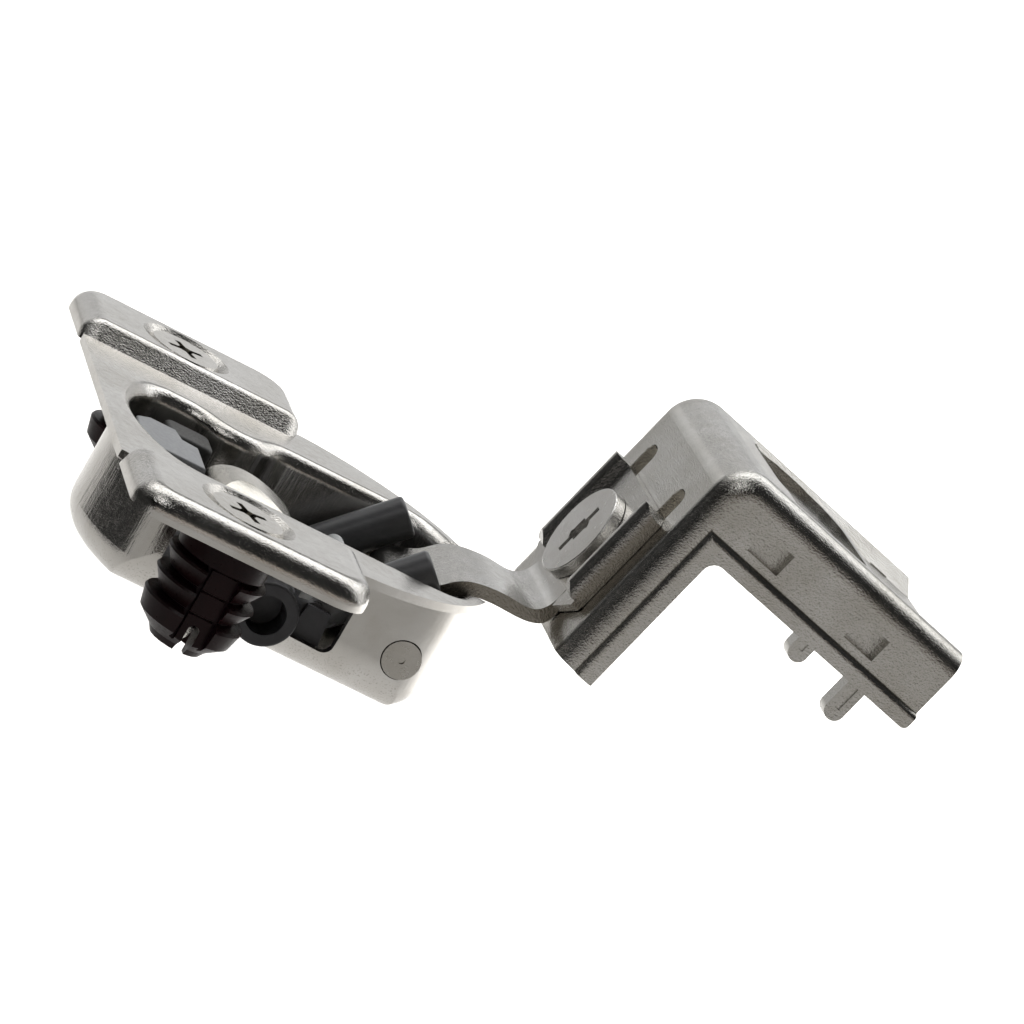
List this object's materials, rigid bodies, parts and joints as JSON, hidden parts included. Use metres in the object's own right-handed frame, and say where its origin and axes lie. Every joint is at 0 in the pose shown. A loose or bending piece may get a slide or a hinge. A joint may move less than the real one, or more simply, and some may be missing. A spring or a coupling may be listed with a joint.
{
  "type": "concealed cup hinge",
  "caption": "Concealed cabinet hinge: pressed steel cup with wings and barbed dowels, bent arm on a riveted pin, and an L-shaped face-frame base with adjusting screw.",
  "frame": {"origin": "axis of the cup's bore on the door face, which is the underside of the cup flange", "axes": "+Z out of the cup's mouth, away from the door; +X from the cup towards the arm and base; +Y along the dowel line, to the far side"},
  "size_m": [0.0758, 0.0584, 0.0335],
  "materials": {
    "cup_steel": "satin nickel plate, drawn sheet",
    "arm_steel": "satin nickel plate, sheared edges darker",
    "base_steel": "satin nickel plate, bright grainy bends",
    "cover_steel": "satin nickel plate",
    "pin_steel": "satin nickel plate",
    "screw_steel": "satin nickel plate",
    "wing_screw_steel": "bright nickel plate",
    "inner_steel": "plain steel, lightly greased",
    "spring_steel": "oiled spring wire",
    "dowel_plastic": "dark red-brown nylon, satin",
    "capsule_plastic": "dark grey acetal, satin",
    "damper_plastic": "dark grey nylon, satin",
    "catch_plastic": "dark grey nylon, matt",
    "switch_plastic": "light blue-grey acetal, satin",
    "lever_plastic": "light grey acetal, satin",
    "piston_plastic": "dark grey acetal"
  },
  "bodies": {
    "cup": {"hinge_cup": "cup_steel", "dowel_near": "dowel_plastic", "dowel_far": "dowel_plastic", "cup_screw_near": "wing_screw_steel", "cup_screw_far": "wing_screw_steel", "pivot_pin": "pin_steel", "spring_pin": "inner_steel", "damper_housing": "damper_plastic", "damper_spring": "spring_steel", "damper_cover": "cover_steel", "damper_catch": "catch_plastic", "damper_lever": "lever_plastic"},
    "arm": {"hinge_arm": "arm_steel"},
    "base": {"base_plate": "base_steel"},
    "screw": {"adjusting_screw": "screw_steel"},
    "nut": {"adjusting_nut": "inner_steel"},
    "capsule_near": {"spring_housing_near": "capsule_plastic", "spring_near": "spring_steel"},
    "capsule_far": {"spring_housing_far": "capsule_plastic", "spring_far": "spring_steel"},
    "plunger_n": {"plunger_near": "piston_plastic"},
    "plunger_f": {"plunger_far": "piston_plastic"},
    "piston": {"damper_piston": "piston_plastic"},
    "switch": {"soft_close_switch": "switch_plastic"}
  },
  "joints": [
    {"name": "arm_pivot", "type": "hinge", "parent": "cup", "child": "arm", "pos_m": [0.0119, 0, -0.0062], "axis": [0, -1, 0], "range_deg": [0, 104]},
    {"name": "base_slide", "type": "slide", "parent": "arm", "child": "base", "axis": [0.244, 0, 0.9698], "range_m": [-0.0015, 0.0015]},
    {"name": "adjusting_screw_turn", "type": "hinge", "parent": "arm", "child": "screw", "pos_m": [0.02546, 0, 0.00805], "axis": [-0.9698, 0, 0.244], "range_deg": [0, 360]},
    {"name": "nut_travel", "type": "slide", "parent": "arm", "child": "nut", "axis": [0.9698, 0, -0.244], "range_m": [0, 0.0007]},
    {"name": "capsule_near_swing", "type": "hinge", "parent": "cup", "child": "capsule_near", "pos_m": [0.0037, 0, -0.00695], "axis": [0, 1, 0], "range_deg": [0, 6.5]},
    {"name": "capsule_far_swing", "type": "hinge", "parent": "cup", "child": "capsule_far", "pos_m": [0.0037, 0, -0.00695], "axis": [0, 1, 0], "range_deg": [0, 6.5]},
    {"name": "plunger_near_travel", "type": "slide", "parent": "capsule_near", "child": "plunger_n", "axis": [0.696, 0, 0.718], "range_m": [0, 0.0008]},
    {"name": "plunger_far_travel", "type": "slide", "parent": "capsule_far", "child": "plunger_f", "axis": [0.696, 0, 0.718], "range_m": [0, 0.0008]},
    {"name": "damper_piston_travel", "type": "slide", "parent": "cup", "child": "piston", "axis": [0, 1, 0], "range_m": [0, 0.0005]},
    {"name": "switch_slide", "type": "slide", "parent": "cup", "child": "switch", "axis": [1, 0, 0], "range_m": [0, 0.001]}
  ],
  "couplings": [
    {"joint": "adjusting_screw_turn", "follows": "nut_travel", "rad_per_m": 8970},
    {"joint": "capsule_near_swing", "follows": "arm_pivot", "ratio": 0.06},
    {"joint": "capsule_far_swing", "follows": "arm_pivot", "ratio": 0.06},
    {"joint": "plunger_near_travel", "follows": "arm_pivot", "m_per_rad": 0.0004},
    {"joint": "plunger_far_travel", "follows": "arm_pivot", "m_per_rad": 0.0004},
    {"joint": "damper_piston_travel", "follows": "arm_pivot", "m_per_rad": 0.00025}
  ]
}
